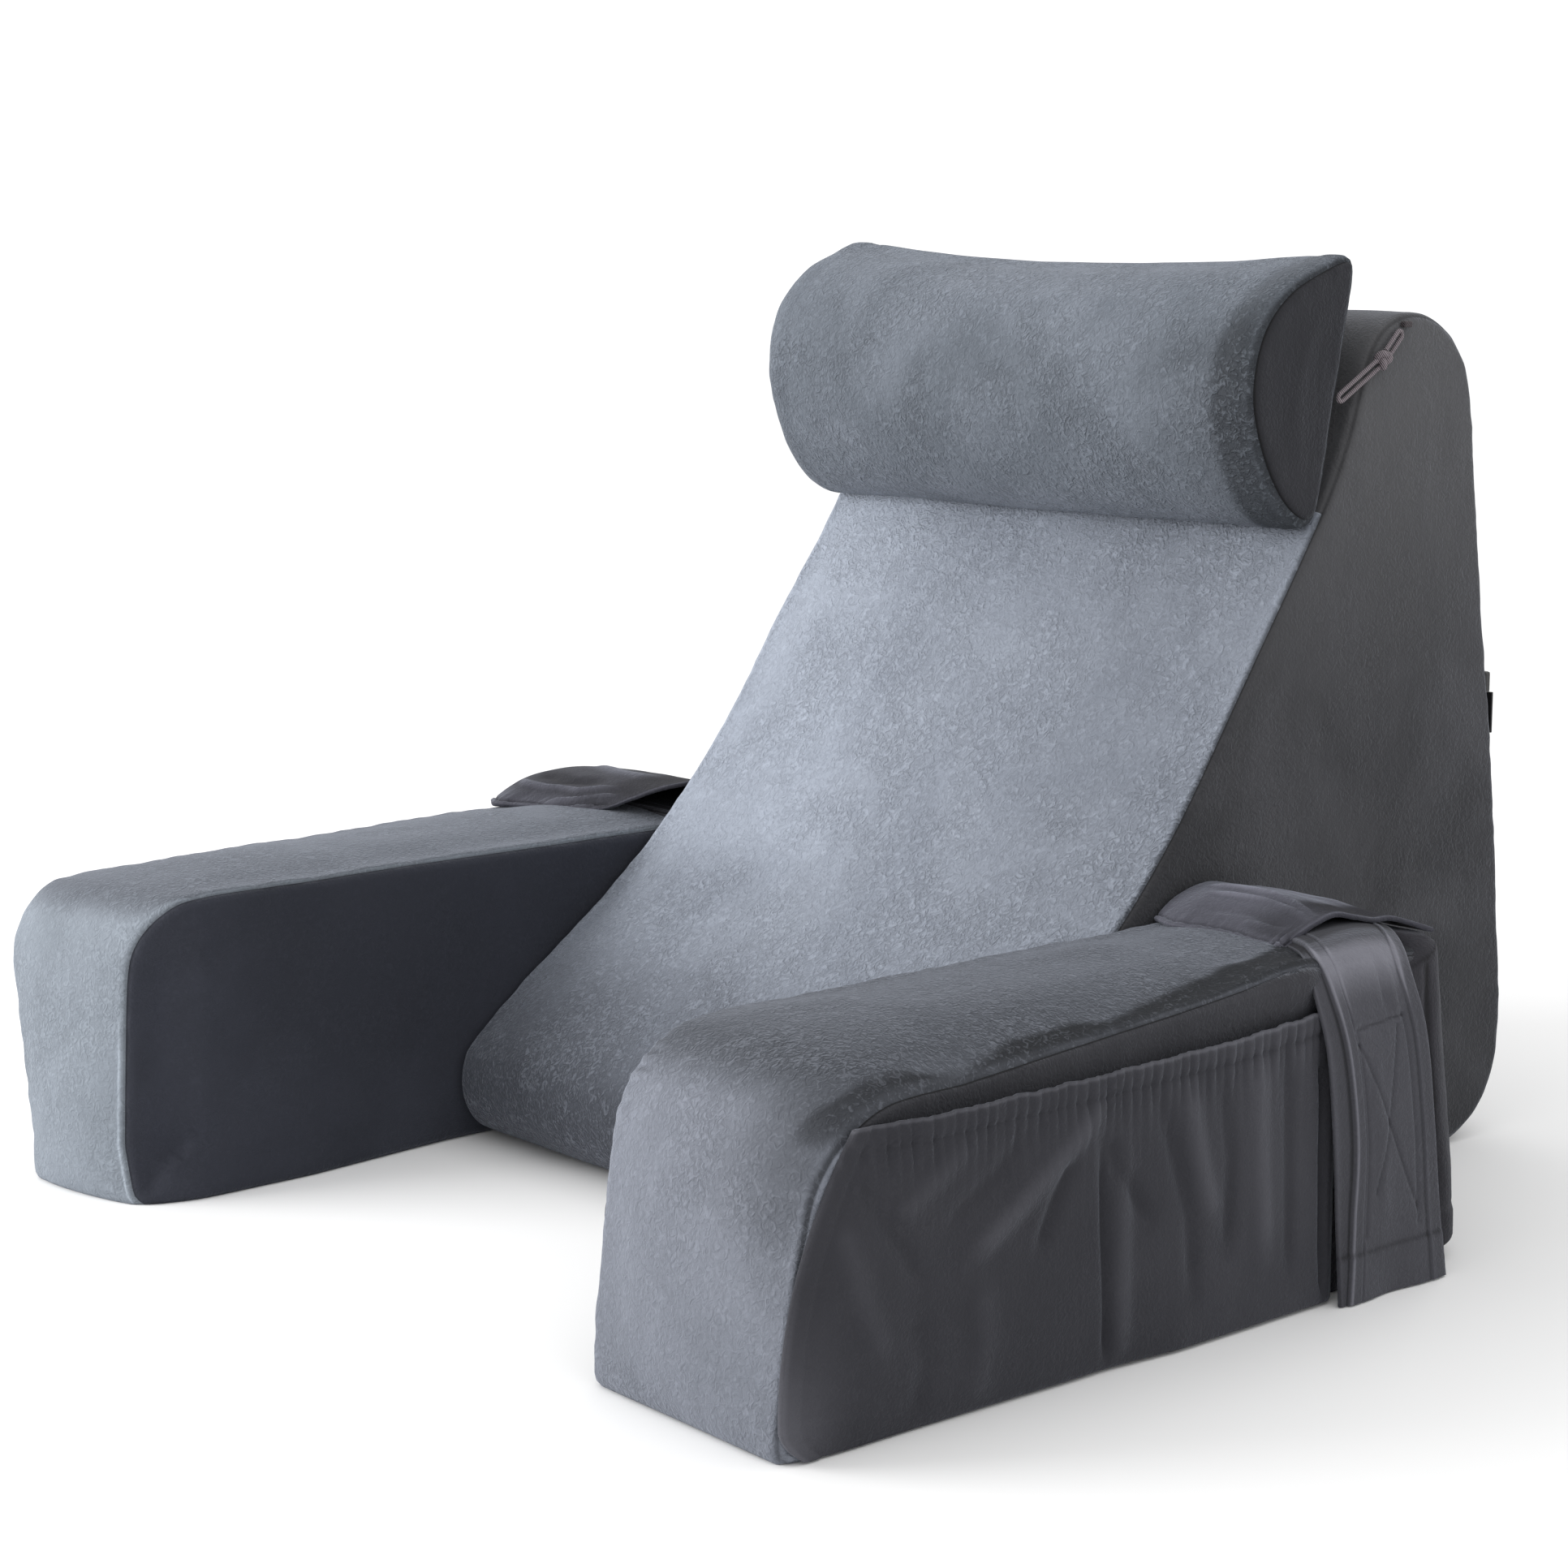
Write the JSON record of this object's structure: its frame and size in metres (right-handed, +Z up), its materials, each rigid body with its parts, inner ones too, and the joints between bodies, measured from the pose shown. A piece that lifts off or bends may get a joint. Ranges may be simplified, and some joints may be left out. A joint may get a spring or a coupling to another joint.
{
  "type": "reading pillow with arms",
  "caption": "Velvet reading pillow: a filled wedge backrest with padded arms, a side pocket and a neck roll on elastic cords.",
  "frame": {"origin": "middle of the footprint, on the floor", "axes": "+Z up, -Y the way the sitter faces, +X to the right arm as the camera sees it"},
  "size_m": [0.7816, 0.7971, 0.5857],
  "materials": {
    "backrest_velvet": "short-pile velvet, light blue-grey",
    "roll_velvet": "short-pile velvet, blue-grey",
    "arm_velvet": "short-pile velvet, grey",
    "pocket_cloth": "short-pile velvet, dark grey",
    "hood_cloth": "short-pile velvet, dark grey",
    "strap_cloth": "short-pile velvet, dark grey",
    "elastic_cord": "braided elastic",
    "zip_black": "black"
  },
  "bodies": {
    "root": {"backrest": "backrest_velvet", "neck_roll": "roll_velvet", "arm_left": "arm_velvet", "arm_right": "arm_velvet", "pocket_right": "pocket_cloth", "hood_left": "hood_cloth", "hood_right": "hood_cloth", "sleeve_left": "hood_cloth", "sleeve_right": "hood_cloth", "strap_left": "strap_cloth", "strap_right": "strap_cloth", "cord_lower_left": "elastic_cord", "cord_lower_right": "elastic_cord", "cord_upper_left": "elastic_cord", "cord_upper_right": "elastic_cord", "cord_knot_left": "elastic_cord", "cord_knot_right": "elastic_cord", "cord_bar_left": "elastic_cord", "cord_bar_right": "elastic_cord", "zip_chain": "zip_black", "zip_slider": "zip_black", "zip_pull": "zip_black"}
  },
  "joints": []
}
